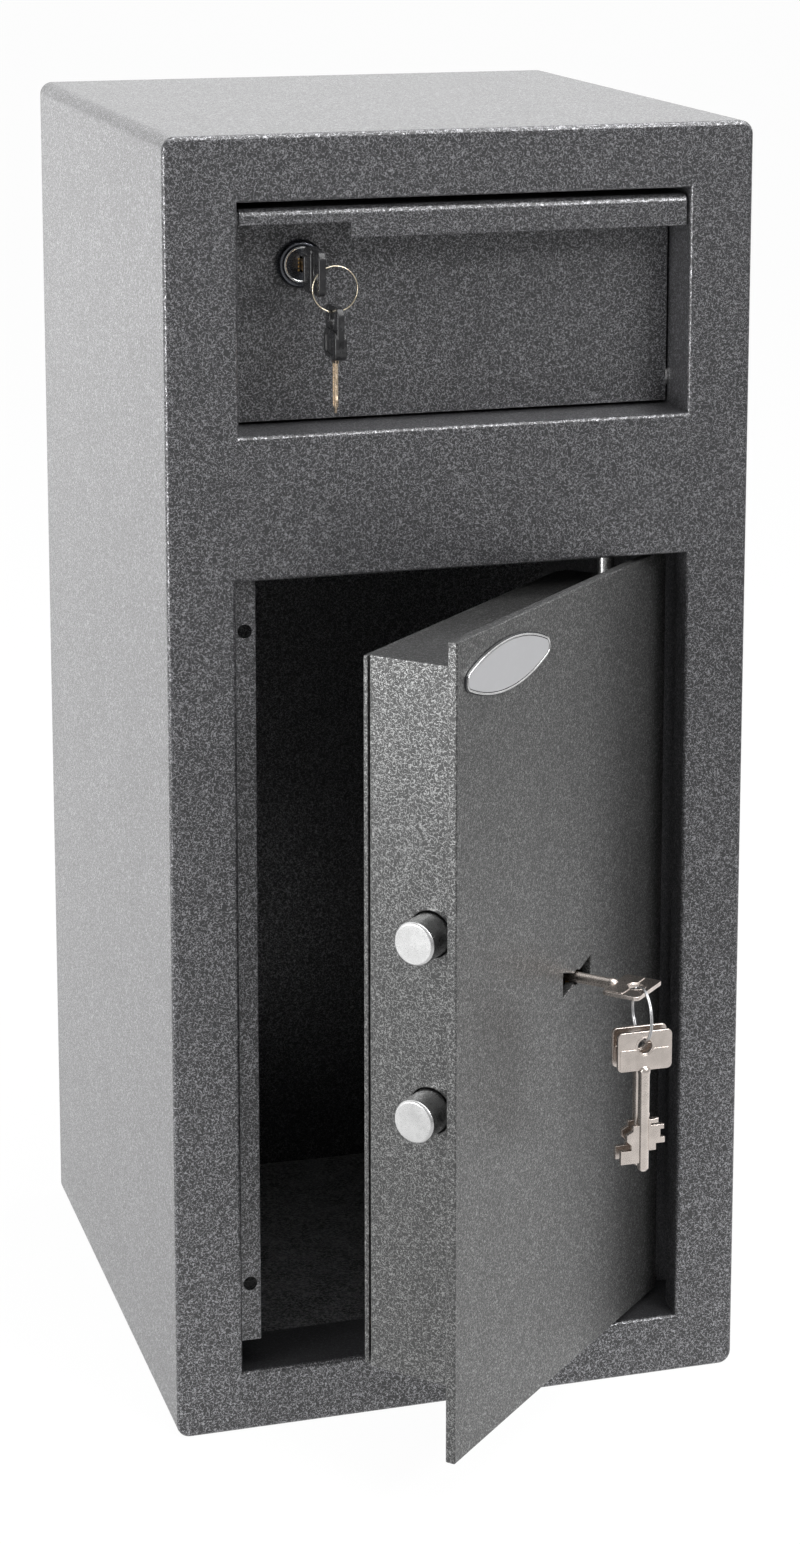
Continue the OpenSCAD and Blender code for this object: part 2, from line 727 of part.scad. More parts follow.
// Double-bit key along +Y, bow outer edge at y = 0, bow flat in X-Y.
module safe_key() {
  bit_y1 = key_len - 5;
  bit_y0 = bit_y1 - bit_l;
  half = bit_w / 2;
  step = bit_l / 5;
  difference() {
    translate([0, 0, -bow_t / 2]) linear_extrude(height = bow_t)
      round_rect(-bow_w / 2, 0, bow_w / 2, bow_l, 5);
    translate([0, hang_in, -bow_t]) cylinder(h = 2 * bow_t, d = bow_hole_d);
  }
  rod_y(0, 0, bow_l - 1.5, bow_l + 3.5, shank_d + 2);
  rod_y(0, 0, bow_l - 1.5, key_len, shank_d);
  for (s = [0, 180])
    rotate([0, s, 0]) translate([0, 0, -bit_t / 2]) linear_extrude(height = bit_t)
      polygon([[0, bit_y0], [half, bit_y0], [half, bit_y0 + step], [half - 4.5, bit_y0 + step],
        [half - 4.5, bit_y0 + 2 * step], [half - 1.5, bit_y0 + 2 * step],
        [half - 1.5, bit_y0 + 3 * step], [half - 5.5, bit_y0 + 3 * step],
        [half - 5.5, bit_y0 + 4 * step], [half, bit_y0 + 4 * step], [half, bit_y1], [0, bit_y1]]);
}

module main_key() {
  color([0.72, 0.7, 0.68]) door_pose() translate([key_x, key_bow_y, key_z]) safe_key();
}

// The ring's wire crosses the key axis at the hole; the ring's plane faces +X.
hang_v = [key_x - pivot_x, key_bow_y + hang_in - pivot_y];
hang_x = pivot_x + hang_v[0] * cos(door_open) - hang_v[1] * sin(door_open);
hang_y = pivot_y + hang_v[0] * sin(door_open) + hang_v[1] * cos(door_open);
ring_cy = hang_y - ring_r * sin(ring_tilt);
ring_cz = key_z - ring_r * cos(ring_tilt);
key_fan = 17;
key_drop = bow_hole_d / 2 - ring_wire / 2 - 0.35 - bow_t / 2 * tan(key_fan);

module main_key_ring() {
  color([0.75, 0.75, 0.76]) translate([hang_x, ring_cy, ring_cz]) rotate([0, 90, 0])
    rotate_extrude() translate([ring_r, 0]) circle(d = ring_wire);
}

// A safe key hung on the lower part of the ring.
module hung_safe_key(side) {
  y = ring_cy + side * ring_r * sin(key_fan);
  z = ring_cz - ring_r * cos(key_fan) - key_drop;
  translate([hang_x, y, z + hang_in]) rotate([-90, 0, 0]) safe_key();
}

module spare_main_key_front() {
  color([0.74, 0.69, 0.66]) hung_safe_key(-1);
}

module spare_main_key_back() {
  color([0.74, 0.69, 0.66]) hung_safe_key(1);
}

module flap_panel() {
  step_x = flap_x0 + lip_step;
  lip_y = flap_y - lip_out;
  color([0.37, 0.38, 0.39]) difference() {
    union() {
      block(flap_x0, flap_x1, flap_y, flap_y + flap_t, flap_z0, flap_top - 0.01);
      block(flap_x0, flap_x1, lip_y, flap_y + flap_t, flap_top - flap_t, flap_top);
      block(flap_x0, flap_x1, lip_y, lip_y + flap_t, flap_top - lip_low, flap_top);
      block(step_x, flap_x1, lip_y, lip_y + flap_t, flap_top - lip_tall, flap_top);
    }
    rod_y(cam_x, cam_z, flap_y - 1, flap_y + flap_t + 1, barrel_d);
  }
}

module hopper_cheeks() {
  front = flap_y + flap_t - fp_y;
  rear_y = hopper_len * cos(hopper_slope);
  rear_z = -hopper_len * sin(hopper_slope);
  low = flap_z0 + 1 - fp_z;
  high = flap_top - cheek_down - fp_z;
  color([0.37, 0.38, 0.39])
    for (x = [flap_x0, flap_x1 - flap_t])
      difference() {
        translate([x, fp_y, fp_z]) rotate([90, 0, 90]) linear_extrude(height = flap_t)
          polygon([[front, low], [8, low + 6], [rear_y, rear_z], [rear_y, rear_z + 5],
            [14, high], [front, high]]);
        rod_x(fp_y, fp_z, x - 1, x + flap_t + 1, flap_pin_d);
      }
}

// Floor under the pivots' height, its front edge on the flap's back.
module hopper_floor() {
  color([0.37, 0.38, 0.39])
    translate([flap_x0 + flap_t, fp_y, fp_z]) rotate([-hopper_slope, 0, 0])
      translate([0, -flap_pin_d / 2 - 2.1, flap_pin_d / 2 + 0.6])
        cube([flap_x1 - flap_x0 - 2 * flap_t, hopper_len, flap_t]);
}

module flap_pivots() {
  color([0.7, 0.7, 0.7]) {
    rod_x(fp_y, fp_z, dep_x0 - sleeve_t - 2, flap_x0 + flap_t, flap_pin_d);
    rod_x(fp_y, fp_z, flap_x1 - flap_t, dep_x1 + sleeve_t + 2, flap_pin_d);
  }
}

module flap_washers() {
  color([0.78, 0.78, 0.78])
    for (x = [dep_x0 + 0.1, flap_x1])
      difference() {
        rod_x(fp_y, fp_z, x, x + flap_gap - 0.1, washer_d);
        rod_x(fp_y, fp_z, x - 1, x + flap_gap + 1, flap_pin_d);
      }
}

module cam_lock_collar() {
  color([0.08, 0.08, 0.08]) difference() {
    union() {
      rod_y(cam_x, cam_z, collar_y + 1.2, flap_y, collar_d);
      translate([cam_x, collar_y, cam_z]) rotate([-90, 0, 0])
        cylinder(h = 1.2, d1 = collar_d - 2.4, d2 = collar_d);
    }
    rod_y(cam_x, cam_z, collar_y - 1, flap_y + 1, plug_d + 2 * plug_gap);
  }
}

module cam_lock_body() {
  color([0.6, 0.6, 0.6]) difference() {
    rod_y(cam_x, cam_z, flap_y, flap_y + 19.5, barrel_d);
    rod_y(cam_x, cam_z, flap_y - 1, flap_y + 21, plug_shaft_d + 2 * plug_gap);
  }
}

module cam_lock_nut() {
  color([0.62, 0.62, 0.62]) difference() {
    translate([cam_x, flap_y + flap_t, cam_z]) rotate([-90, 0, 0]) cylinder(h = 4, d = 27, $fn = 6);
    rod_y(cam_x, cam_z, flap_y + 1, flap_y + 8, barrel_d);
  }
}

module cam_lock_plug() {
  color([0.72, 0.7, 0.66]) difference() {
    union() {
      rod_y(cam_x, cam_z, collar_y - 0.6, flap_y - 0.4, plug_d);
      rod_y(cam_x, cam_z, flap_y - 0.4, cam_y, plug_shaft_d);
    }
    block(cam_x - 1.2, cam_x + 1.2, collar_y - 2, flap_y + 13, cam_z - 4.4, cam_z + 4.4);
    rod_y(cam_x, cam_z, cam_y - 6, cam_y + 1, 5);
  }
}

module lock_cam() {
  color([0.7, 0.7, 0.7]) difference() {
    union() {
      rod_y(cam_x, cam_z, cam_y, cam_y + 2.5, 18);
      block(cam_x, cam_x + cam_reach, cam_y, cam_y + 2.5, cam_z - 8, cam_z + 8);
    }
    rod_y(cam_x, cam_z, cam_y - 1, cam_y + 4, 5);
  }
}

module cam_screw() {
  color([0.7, 0.7, 0.7]) difference() {
    union() {
      rod_y(cam_x, cam_z, cam_y - 5, cam_y + 2.5, 5);
      rod_y(cam_x, cam_z, cam_y + 2.5, cam_y + 5.5, 10);
    }
    block(cam_x - 6, cam_x + 6, cam_y + 4.3, cam_y + 6, cam_z - 0.6, cam_z + 0.6);
    block(cam_x - 0.6, cam_x + 0.6, cam_y + 4.3, cam_y + 6, cam_z - 6, cam_z + 6);
  }
}

// Flat cam key along +Y, bow outer edge at y = 0, flat in Y-Z.
module small_key() {
  total = cbow_l + cblade_l;
  rotate([0, -90, 0]) {
    difference() {
      union() {
        translate([0, 0, -cbow_t / 2]) linear_extrude(height = cbow_t) difference() {
          round_rect(-cbow_w / 2, 0, cbow_w / 2, cbow_l, 5);
          translate([0, 7.5]) circle(d = cbow_hole_d);
        }
        translate([0, 0, -cgrip_t / 2]) linear_extrude(height = cgrip_t)
          round_rect(-cbow_w / 2, cgrip_in, cbow_w / 2, cbow_l, 5);
      }
      for (z = [-cgrip_t, cgrip_t / 2 - 0.8])
        translate([-8, cgrip_in + 3, z]) cube([16, cbow_l - cgrip_in - 6, cgrip_t / 2 + 0.8]);
    }
    translate([0, 0, -1]) linear_extrude(height = 2)
      polygon([[-4, cbow_l - 2], [4, cbow_l - 2], [4, total - 5], [0.8, total], [-0.8, total], [-4, total - 5]]);
  }
}

cam_key_y = collar_y - 0.6 - 15 - cbow_l;
cring_hang_y = cam_key_y + 7.5;
cring_cx = cam_x + cring_r * sin(cring_tilt);
cring_cz = cam_z - cring_r * cos(cring_tilt);

module cam_key() {
  color([0.07, 0.07, 0.07]) translate([cam_x, cam_key_y, cam_z]) small_key();
}

module cam_key_ring() {
  color([0.72, 0.66, 0.55]) translate([cring_cx, cring_hang_y, cring_cz]) rotate([90, 0, 0])
    rotate_extrude() translate([cring_r, 0]) circle(d = cring_wire);
}

module spare_cam_key() {
  drop = cbow_hole_d / 2 - cring_wire / 2 - 0.55;
  color([0.07, 0.07, 0.07])
    translate([cring_cx, cring_hang_y, cring_cz - cring_r - drop + 7.5]) rotate([-90, 0, 0]) small_key();
}

cabinet_wrap();
back_plate();
front_panel();
jamb_top();
jamb_right();
sill();
bolt_keeper();
pivot_bracket();
pivot_bush_top();
pivot_bush_bottom();
deposit_sleeve();
fishing_baffle();
chute_plate();
cam_striker();
floor_mat();
pivot_pins();
pivot_blocks();
door_plate();
door_pan();
door_back_cover();
cover_screws();
badge_plate();
lock_case();
lock_cover();
lever_pack();
bolt_carriage();
locking_bolts();
carriage_studs();
bolt_guide();
main_key();
main_key_ring();
spare_main_key_front();
spare_main_key_back();
flap_panel();
hopper_cheeks();
hopper_floor();
flap_pivots();
flap_washers();
cam_lock_collar();
cam_lock_body();
cam_lock_nut();
cam_lock_plug();
lock_cam();
cam_screw();
cam_key();
cam_key_ring();
spare_cam_key();
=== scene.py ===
import json
import math

import bmesh
import bpy
from mathutils import Matrix, Vector, noise


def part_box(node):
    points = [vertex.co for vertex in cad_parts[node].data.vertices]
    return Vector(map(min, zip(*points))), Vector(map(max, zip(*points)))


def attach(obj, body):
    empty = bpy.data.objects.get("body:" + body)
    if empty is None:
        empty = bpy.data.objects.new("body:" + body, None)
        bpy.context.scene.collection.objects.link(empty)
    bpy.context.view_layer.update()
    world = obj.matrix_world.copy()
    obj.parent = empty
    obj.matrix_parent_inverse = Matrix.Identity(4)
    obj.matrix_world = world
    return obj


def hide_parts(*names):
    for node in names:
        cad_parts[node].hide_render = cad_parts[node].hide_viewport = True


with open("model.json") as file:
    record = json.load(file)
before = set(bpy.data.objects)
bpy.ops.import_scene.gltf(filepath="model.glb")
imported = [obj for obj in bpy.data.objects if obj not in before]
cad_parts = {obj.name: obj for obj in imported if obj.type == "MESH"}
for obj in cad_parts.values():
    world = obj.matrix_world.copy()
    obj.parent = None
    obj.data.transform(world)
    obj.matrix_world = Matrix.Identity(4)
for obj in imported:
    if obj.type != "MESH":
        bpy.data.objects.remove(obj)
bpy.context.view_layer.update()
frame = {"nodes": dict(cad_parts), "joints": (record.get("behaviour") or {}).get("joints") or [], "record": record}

MM = 0.001
CAD = frame["nodes"]
BODY_OF = {
    node: body
    for body, nodes in frame["record"]["behaviour"]["bodies"].items()
    for node in nodes
}
JOINT = {joint["name"]: joint for joint in frame["joints"]}

# Tolerances: lying on a face, being one point, and which angles count as flat, smooth or sharp
TOUCH = 0.1 * MM
WELD = 0.002 * MM
FLAT_ANGLE = math.radians(0.3)
SMOOTH_ANGLE = math.radians(35)
SHARP_ANGLE = math.radians(40)

# The door's own directions, from its joints
PIVOT = Vector(JOINT["door_swing"]["pos_m"])
OUTWARD = Vector(JOINT["key_turn"]["axis"])
DOOR_OPEN = math.atan2(OUTWARD.x, -OUTWARD.y)
DOOR = Matrix.Translation(PIVOT) @ Matrix.Rotation(DOOR_OPEN, 4, "Z") @ Matrix.Translation(-PIVOT)


# Materials

class Paint:
    """A Principled material with the nodes that feed it, placed by object coordinates."""

    def __init__(self, name, color, roughness, metallic=0.0, **sockets):
        self.material = bpy.data.materials.new(name)
        self.material.use_nodes = True
        self.tree = self.material.node_tree
        self.shader = self.tree.nodes["Principled BSDF"]
        self.set("Base Color", (*color, 1.0))
        self.set("Roughness", roughness)
        self.set("Metallic", metallic)
        for socket, value in sockets.items():
            self.set(socket.replace("_", " "), value)
        self.place = self.node("ShaderNodeTexCoord").outputs["Object"]

    def set(self, socket, value):
        if isinstance(value, bpy.types.NodeSocket):
            self.tree.links.new(value, self.shader.inputs[socket])
        else:
            self.shader.inputs[socket].default_value = value

    def node(self, kind, inputs=None, **settings):
        made = self.tree.nodes.new(kind)
        for key, value in settings.items():
            setattr(made, key, value)
        for key, value in (inputs or {}).items():
            if isinstance(value, bpy.types.NodeSocket):
                self.tree.links.new(value, made.inputs[key])
            else:
                made.inputs[key].default_value = value
        return made

    def noise(self, size, detail=2.0, roughness=0.5, distortion=0.0):
        """Noise whose features are about size metres wide."""
        inputs = {"Vector": self.place, "Scale": 1.0 / size, "Detail": detail}
        inputs.update({"Roughness": roughness, "Distortion": distortion})
        return self.node("ShaderNodeTexNoise", inputs).outputs[0]

    def math(self, operation, a, b=0.0):
        return self.node("ShaderNodeMath", {0: a, 1: b}, operation=operation).outputs[0]

    def spread(self, value, low, high, to_low=0.0, to_high=1.0):
        """Maps low to to_low and high to to_high, and holds what lies past them."""
        inputs = {"Value": value, "From Min": low, "From Max": high}
        inputs.update({"To Min": to_low, "To Max": to_high})
        return self.node("ShaderNodeMapRange", inputs).outputs[0]

    def mix(self, factor, a, b):
        color = [c if isinstance(c, bpy.types.NodeSocket) else (*c, 1.0) for c in (a, b)]
        inputs = {0: factor, 6: color[0], 7: color[1]}
        return self.node("ShaderNodeMix", inputs, data_type="RGBA").outputs[2]

    def bump(self, height, distance, strength=1.0):
        inputs = {"Height": height, "Distance": distance, "Strength": strength}
        self.set("Normal", self.node("ShaderNodeBump", inputs).outputs[0])


def hammertone(name, dark, light, gloss=0.34, grain=1.75 * MM, depth=0.16 * MM, flake=0.85):
    """Graphite hammer paint: short worms of metal flake over a darker ground, slightly lumpy."""
    worm_core, worm_edge = 0.012, 0.05
    cloud_size = 40 * MM
    paint = Paint(name, dark, gloss, Specular_IOR_Level=0.6)
    field = paint.noise(grain, detail=1.0, distortion=0.6)
    offset = paint.math("ABSOLUTE", paint.math("SUBTRACT", field, 0.5))
    worms = paint.spread(offset, worm_core, worm_edge, 1.0, 0.0)
    drift = paint.spread(paint.noise(cloud_size), 0.35, 0.65, 0.9, 1.1)
    amount = paint.math("MULTIPLY", worms, drift)
    paint.set("Base Color", paint.mix(amount, dark, light))
    paint.set("Metallic", paint.math("MULTIPLY", amount, flake))
    paint.set("Roughness", paint.spread(worms, 0.0, 1.0, gloss, gloss - 0.04))
    paint.bump(field, depth)
    return paint.material


def metal(name, color, roughness, grain=0.5 * MM, depth=0.006 * MM):
    """Bare metal with fine marks and faint duller patches."""
    stain_size, stain_shade = 9 * MM, 0.78
    paint = Paint(name, color, roughness, metallic=1.0)
    marks = paint.noise(grain, detail=3.0, roughness=0.6)
    stain = paint.noise(stain_size, detail=3.0, roughness=0.6)
    duller = tuple(c * stain_shade for c in color)
    paint.set("Base Color", paint.mix(paint.spread(stain, 0.35, 0.7), color, duller))
    paint.set("Roughness", paint.spread(marks, 0.3, 0.7, roughness * 0.8, roughness * 1.3))
    paint.bump(marks, depth)
    return paint.material


def moulding(name, color, roughness, scuff=0.6):
    """Moulded plastic or plain lacquer with a faint skin and paler scuffs."""
    skin_size, skin_depth, wear_size = 0.35 * MM, 0.01 * MM, 6 * MM
    paint = Paint(name, color, roughness, Specular_IOR_Level=0.5)
    skin = paint.noise(skin_size)
    wear = paint.noise(wear_size, detail=3.0, roughness=0.6)
    paler = tuple(c * (1.0 + scuff) + 0.01 * scuff for c in color)
    paint.set("Base Color", paint.mix(paint.spread(wear, 0.5, 0.8), color, paler))
    paint.set("Roughness", paint.spread(wear, 0.3, 0.7, roughness * 0.85, roughness * 1.2))
    paint.bump(skin, skin_depth)
    return paint.material


def carpet_pile(name):
    """Mottled grey needle felt."""
    fleck_size, clump_size, depth = 1.6 * MM, 14 * MM, 0.9 * MM
    dark, middle, light = (0.012, 0.012, 0.014), (0.11, 0.11, 0.115), (0.36, 0.36, 0.37)
    paint = Paint(name, middle, 0.95, Specular_IOR_Level=0.2, Sheen_Weight=0.3)
    fleck = paint.noise(fleck_size, detail=4.0, roughness=0.7)
    clump = paint.noise(clump_size, detail=3.0, roughness=0.6)
    ground = paint.mix(paint.spread(clump, 0.4, 0.62), dark, middle)
    paint.set("Base Color", paint.mix(paint.spread(fleck, 0.45, 0.62), ground, light))
    paint.bump(fleck, depth, strength=0.9)
    return paint.material


GREY_HAMMER = hammertone("grey_hammer", (0.026, 0.026, 0.028), (0.34, 0.34, 0.355))
DOOR_HAMMER = hammertone("door_hammer", (0.028, 0.028, 0.028), (0.288, 0.29, 0.288))
# Darker copy of the grey hammer paint for the sill and the parts inside the safe: painted shade of the dim inside
SHADED_INNER_GREY = hammertone("inner_grey", (0.028, 0.028, 0.03), (0.15, 0.15, 0.158), gloss=0.4)
TURNED_STEEL = metal("turned_steel", (0.64, 0.64, 0.64), 0.28, depth=0.01 * MM)
PLATED_STEEL = metal("plated_steel", (0.62, 0.62, 0.63), 0.3)
CHROME = metal("chrome", (0.8, 0.8, 0.8), 0.14)
BRASS = metal("brass", (0.62, 0.42, 0.17), 0.3)
NICKEL = metal("nickel", (0.72, 0.65, 0.60), 0.27, depth=0.008 * MM)
BLACK = moulding("black_moulding", (0.014, 0.014, 0.015), 0.24)
# Black for the badge's base, whose edge round the rim stands for the shadow there: painted shadow
BADGE_SHADOW_BLACK = moulding("badge_shadow_black", (0.014, 0.015, 0.017), 0.2)
DARK_NICKEL = metal("dark_nickel", (0.12, 0.125, 0.14), 0.24)
BLADE_BRASS = metal("blade_brass", (0.72, 0.58, 0.43), 0.27, depth=0.008 * MM)
RING_BRASS = metal("ring_brass", (0.8, 0.72, 0.56), 0.2)
BADGE_FACE = moulding("badge_face", (0.36, 0.36, 0.37), 0.42, scuff=0.06)
CARPET = carpet_pile("carpet")


# Mesh helpers

def mesh_object(work, name):
    """Turns a bmesh into a smooth-shaded object whose flat faces stay flat."""
    bmesh.ops.recalc_face_normals(work, faces=work.faces)
    data = bpy.data.meshes.new(name)
    work.to_mesh(data)
    work.free()
    if "custom_normal" in data.attributes:
        data.attributes.remove(data.attributes["custom_normal"])
    data.shade_smooth()
    data.set_sharp_from_angle(angle=SMOOTH_ANGLE)
    made = bpy.data.objects.new(name, data)
    bpy.context.scene.collection.objects.link(made)
    normals = made.modifiers.new("flat_faces", "WEIGHTED_NORMAL")
    normals.keep_sharp = True
    return made


def add_piece(made, material, slot, body, *nodes):
    """Gives a piece its finish and body, and has it stand for the CAD nodes that are named."""
    made.data.materials.clear()
    made.data.materials.append(material)
    if nodes:
        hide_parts(*nodes)
    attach(made, body)
    return made


def dress(node, material, slot, width, segments=2, pick=None, extra=None):
    """A copy of a CAD node with its sharp edges rounded. extra is another (pick, width)."""
    work = bmesh.new()
    work.from_mesh(CAD[node].data)
    bmesh.ops.remove_doubles(work, verts=work.verts, dist=WELD)
    bmesh.ops.dissolve_limit(work, angle_limit=FLAT_ANGLE, verts=work.verts, edges=work.edges)
    for chosen, offset in [(pick, width)] + ([extra] if extra else []):
        sharp = [
            e for e in work.edges
            if e.is_manifold and e.calc_face_angle(0.0) > SHARP_ANGLE
            and (chosen is None or chosen(*(v.co for v in e.verts)))
        ]
        bmesh.ops.bevel(
            work, geom=sharp, offset=offset, offset_type="OFFSET", segments=segments,
            profile=0.5, affect="EDGES", clamp_overlap=False,
        )
    return add_piece(mesh_object(work, node + "_finish"), material, slot, BODY_OF[node], node)


def repaint(material, *nodes):
    """Keeps CAD nodes as they are, with a better material."""
    for node in nodes:
        for holder in CAD[node].material_slots:
            holder.material = material


def rounded_rect(x0, y0, x1, y1, radius, steps=6):
    """Points round a rectangle with round corners."""
    corners = [(x1 - radius, y0 + radius, -90), (x1 - radius, y1 - radius, 0)]
    corners += [(x0 + radius, y1 - radius, 90), (x0 + radius, y0 + radius, 180)]
    points = []
    for x, y, start in corners:
        for i in range(steps + 1):
            a = math.radians(start + 90.0 * i / steps)
            points.append((x + radius * math.cos(a), y + radius * math.sin(a)))
    return points


def strip(half, y0, y1, radius, steps=6):
    """A rounded rectangle that lies evenly across the Y axis."""
    return rounded_rect(-half, y0, half, y1, radius, steps)


def circle(y, radius, steps=32):
    """Points round a circle whose centre is on the Y axis."""
    turn = 2 * math.pi / steps
    return [(radius * math.cos(turn * i), y + radius * math.sin(turn * i)) for i in range(steps)]


def plate(loops, thickness, edge, z=0.0):
    """A flat plate in X-Y with rounded edges. The first loop is its outline, others are holes."""
    curve = bpy.data.curves.new("outline", "CURVE")
    curve.dimensions = "2D"
    curve.fill_mode = "BOTH"
    curve.extrude = thickness / 2 - edge
    curve.bevel_depth = edge
    curve.bevel_resolution = 2
    curve.offset = -edge
    for loop in loops:
        spline = curve.splines.new("POLY")
        spline.points.add(len(loop) - 1)
        for point, (x, y) in zip(spline.points, loop):
            point.co = (x, y, 0.0, 1.0)
        spline.use_cyclic_u = True
    holder = bpy.data.objects.new("outline", curve)
    bpy.context.scene.collection.objects.link(holder)
    bpy.context.view_layer.update()
    seen = holder.evaluated_get(bpy.context.evaluated_depsgraph_get())
    data = bpy.data.meshes.new_from_object(seen)
    bpy.data.objects.remove(holder)
    bpy.data.curves.remove(curve)
    data.transform(Matrix.Translation((0.0, 0.0, z)))
    work = bmesh.new()
    work.from_mesh(data)
    bpy.data.meshes.remove(data)
    bmesh.ops.remove_doubles(work, verts=work.verts, dist=WELD)
    return work


def lathe(profile, steps=64):
    """Turns (radius, y) points about the Y axis."""
    work = bmesh.new()
    turn = 2 * math.pi / steps
    rings = []
    for radius, y in profile:
        if radius < WELD:
            rings.append([work.verts.new((0.0, y, 0.0))])
            continue
        rings.append([
            work.verts.new((radius * math.cos(turn * i), y, radius * math.sin(turn * i)))
            for i in range(steps)
        ])
    for a, b in zip(rings, rings[1:]):
        for i in range(steps):
            j = (i + 1) % steps
            corners = [a[i % len(a)], a[j % len(a)], b[j % len(b)], b[i % len(b)]]
            unique = list(dict.fromkeys(corners))
            if len(unique) > 2:
                work.faces.new(unique)
    return work


def tube(points, radius, steps=12):
    """A round wire along open points, closed by a cap at each end."""
    work = bmesh.new()
    turn = 2 * math.pi / steps
    rings = []
    side = None
    for i, point in enumerate(points):
        ahead = points[min(i + 1, len(points) - 1)]
        behind = points[max(i - 1, 0)]
        along = (ahead - behind).normalized()
        guess = side if side is not None else along.orthogonal()
        side = (guess - along * guess.dot(along)).normalized()
        other = along.cross(side)
        ring = []
        for k in range(steps):
            outward = side * math.cos(turn * k) + other * math.sin(turn * k)
            ring.append(work.verts.new(point + outward * radius))
        rings.append(ring)
    for a, b in zip(rings, rings[1:]):
        for k in range(steps):
            n = (k + 1) % steps
            work.faces.new((a[k], a[n], b[n], b[k]))
    work.faces.new(rings[0])
    work.faces.new(list(reversed(rings[-1])))
    return work


def join(*parts):
    """Puts several bmeshes into one."""
    whole = bmesh.new()
    for part in parts:
        data = bpy.data.meshes.new("part")
        part.to_mesh(data)
        part.free()
        whole.from_mesh(data)
        bpy.data.meshes.remove(data)
    return whole


def placed(work, matrix):
    """Moves a bmesh to its place and hands it back."""
    bmesh.ops.transform(work, matrix=matrix, verts=work.verts)
    return work


def door_box(node):
    """Lowest and highest corner of a door node, with the door turned shut."""
    shut = DOOR.inverted()
    points = [shut @ v.co for v in CAD[node].data.vertices]
    low = Vector([min(p[i] for p in points) for i in range(3)])
    high = Vector([max(p[i] for p in points) for i in range(3)])
    return low, high


# Cabinet

RIM_EDGE, RIM_STEPS = 2.8 * MM, 5
OPENING_EDGE = 2.7 * MM
SHEET_EDGE = 0.7 * MM
PANEL_LOW, PANEL_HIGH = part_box("front_panel")
FRONT = PANEL_LOW.y


def on_front(*points):
    return all(p.y < FRONT + TOUCH for p in points)


def outer_rim(*points):
    near = 9 * MM
    return on_front(*points) and all(
        p.x < PANEL_LOW.x + near or p.x > PANEL_HIGH.x - near
        or p.z < PANEL_LOW.z + near or p.z > PANEL_HIGH.z - near
        for p in points
    )


def opening_rim(*points):
    return on_front(*points) and not outer_rim(*points)


def make_cabinet():
    openings = (opening_rim, OPENING_EDGE)
    dress("front_panel", GREY_HAMMER, "grey_hammer", RIM_EDGE, RIM_STEPS, outer_rim, openings)
    dress("bolt_keeper", GREY_HAMMER, "grey_hammer", SHEET_EDGE)
    # The sill takes the darker inner copy of the paint, painted shade where the door shadows it
    dress("sill", SHADED_INNER_GREY, "inner_grey", SHEET_EDGE)
    repaint(GREY_HAMMER, "cabinet_wrap", "back_plate", "deposit_sleeve", "jamb_top", "jamb_right")
    # The inner parts take the darker copy of the paint: painted shade of the enclosed inside
    repaint(SHADED_INNER_GREY, "pivot_bracket", "fishing_baffle", "chute_plate", "cam_striker")
    repaint(BRASS, "pivot_bush_top", "pivot_bush_bottom")


CARPET_CELL = 5 * MM
PILE = 0.8 * MM
PILE_WAVES = 35.0


def make_carpet():
    """The loose mat, with a slightly uneven pile and a cut edge."""
    low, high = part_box("floor_mat")
    width, length = high.x - low.x, high.y - low.y
    across, along = round(width / CARPET_CELL), round(length / CARPET_CELL)
    work = bmesh.new()
    grid = []
    for j in range(along + 1):
        row = []
        for i in range(across + 1):
            x, y = low.x + width * i / across, low.y + length * j / along
            lift = noise.noise(Vector((x, y, 0.0)) * PILE_WAVES) * PILE
            edge = min(i, across - i, j, along - j)
            droop = PILE if edge == 0 else 0.0
            row.append(work.verts.new((x, y, high.z - PILE + lift - droop)))
        grid.append(row)
    for j in range(along):
        for i in range(across):
            work.faces.new((grid[j][i], grid[j][i + 1], grid[j + 1][i + 1], grid[j + 1][i]))
    rim = [e for e in work.edges if e.is_boundary]
    wall = bmesh.ops.extrude_edge_only(work, edges=rim)["geom"]
    foot = [v for v in wall if isinstance(v, bmesh.types.BMVert)]
    for v in foot:
        v.co.z = low.z
    bmesh.ops.contextual_create(work, geom=[e for e in work.edges if e.is_boundary])
    mat = mesh_object(work, "carpet_mat")
    add_piece(mat, CARPET, "carpet", "cabinet", "floor_mat")


# Door

DOOR_EDGE, DOOR_STEPS = 0.9 * MM, 3
SMALL_EDGE = 0.35 * MM


def make_door():
    dress("door_plate", DOOR_HAMMER, "door_hammer", DOOR_EDGE, DOOR_STEPS)
    dress("door_pan", DOOR_HAMMER, "door_hammer", DOOR_EDGE, DOOR_STEPS)
    dress("door_back_cover", DOOR_HAMMER, "door_hammer", SHEET_EDGE)
    dress("cover_screws", BRASS, "brass", SMALL_EDGE)
    dress("locking_bolts", TURNED_STEEL, "bright_steel", SMALL_EDGE)
    # The pivot blocks take the darker inner copy of the paint: painted shade inside the door
    repaint(SHADED_INNER_GREY, "pivot_blocks")
    repaint(TURNED_STEEL, "pivot_pins")
    repaint(PLATED_STEEL, "lock_case", "lock_cover")
    repaint(PLATED_STEEL, "bolt_carriage", "carriage_studs", "bolt_guide")
    repaint(BRASS, "lever_pack")


